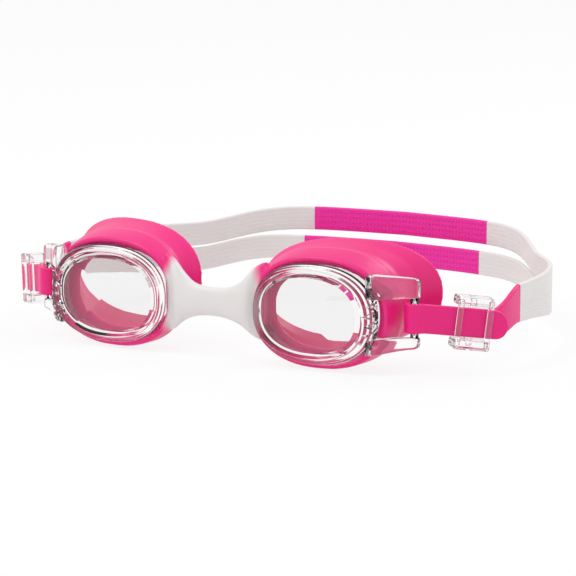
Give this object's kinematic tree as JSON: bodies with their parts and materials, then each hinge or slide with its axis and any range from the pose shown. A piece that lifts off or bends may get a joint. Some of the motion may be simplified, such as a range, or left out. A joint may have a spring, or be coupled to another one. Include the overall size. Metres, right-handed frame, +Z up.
{
  "type": "swim goggles",
  "caption": "Swim goggles with clear oval eyecups, soft face seals, a flexible nose bridge and a split two-colour head strap held by ladder-lock slides.",
  "frame": {"origin": "middle of the nose bridge's rear face, at the height of the window centres, where the bridge sits on the nose", "axes": "+Z up as worn, +Y from the windows back to the head, +X to the right as seen from the front (the wearer's left)"},
  "size_m": [0.2034, 0.1589, 0.044],
  "materials": {
    "lens_clear": "clear polished polycarbonate",
    "buckle_clear": "clear polished polycarbonate",
    "seal_pink": "satin moulded silicone",
    "bridge_white": "satin moulded silicone",
    "strap_pink": "satin moulded silicone",
    "strap_white": "satin moulded silicone",
    "strap_grip": "satin silicone with fine raised dots"
  },
  "bodies": {
    "right_cup": {"lens_right": "lens_clear", "seal_right": "seal_pink", "nose_bridge_right": "bridge_white"},
    "left_cup": {"lens_left": "lens_clear", "seal_left": "seal_pink", "nose_bridge_left": "bridge_white"},
    "right_arm": {"strap_end_right": "strap_pink"},
    "left_arm": {"strap_end_left": "strap_pink"},
    "strap_back": {"strap_yoke_right": "strap_white", "strap_yoke_left": "strap_white"},
    "upper_band": {"upper_band_white_right": "strap_white", "upper_band_white_left": "strap_white", "upper_band_grip": "strap_grip"},
    "lower_band": {"lower_band_white_right": "strap_white", "lower_band_white_left": "strap_white", "lower_band_grip": "strap_grip"},
    "right_buckle": {"buckle_right": "buckle_clear"},
    "left_buckle": {"buckle_left": "buckle_clear"}
  },
  "joints": [
    {"name": "bridge_flex", "type": "hinge", "parent": "right_cup", "child": "left_cup", "pos_m": [0, -0.0023, 0], "axis": [0, 0, -1], "range_deg": [0, 20], "stiffness_Nm_per_rad": 0.25},
    {"name": "right_strap_swivel", "type": "hinge", "parent": "right_cup", "child": "right_arm", "pos_m": [0.0755, 0.0067, 0], "axis": [0, 0, -1], "range_deg": [0, 14]},
    {"name": "right_strap_flex", "type": "hinge", "parent": "right_arm", "child": "strap_back", "pos_m": [0.0952, 0.049, 0], "axis": [0, 0, 1], "range_deg": [0, 4]},
    {"name": "left_strap_flex", "type": "hinge", "parent": "strap_back", "child": "left_arm", "pos_m": [-0.0952, 0.049, 0], "axis": [0, 0, 1], "range_deg": [0, 4]},
    {"name": "upper_band_lift", "type": "hinge", "parent": "strap_back", "child": "upper_band", "pos_m": [0, 0.11, 0.00265], "axis": [1, 0, 0], "range_deg": [0, 35], "stiffness_Nm_per_rad": 0.03},
    {"name": "lower_band_drop", "type": "hinge", "parent": "strap_back", "child": "lower_band", "pos_m": [0, 0.11, -0.00765], "axis": [-1, 0, 0], "range_deg": [0, 35], "stiffness_Nm_per_rad": 0.03},
    {"name": "right_buckle_slide", "type": "slide", "parent": "right_arm", "child": "right_buckle", "axis": [-0.7491, -0.6512, 0.1219], "range_m": [0, 0.005]},
    {"name": "left_buckle_slide", "type": "slide", "parent": "left_arm", "child": "left_buckle", "axis": [0.7491, -0.6512, 0.1219], "range_m": [0, 0.005]}
  ],
  "couplings": [
    {"joint": "right_strap_swivel", "follows": "bridge_flex", "ratio": 0.6675},
    {"joint": "right_strap_flex", "follows": "bridge_flex", "ratio": 0.1675},
    {"joint": "left_strap_flex", "follows": "bridge_flex", "ratio": 0.1675}
  ]
}
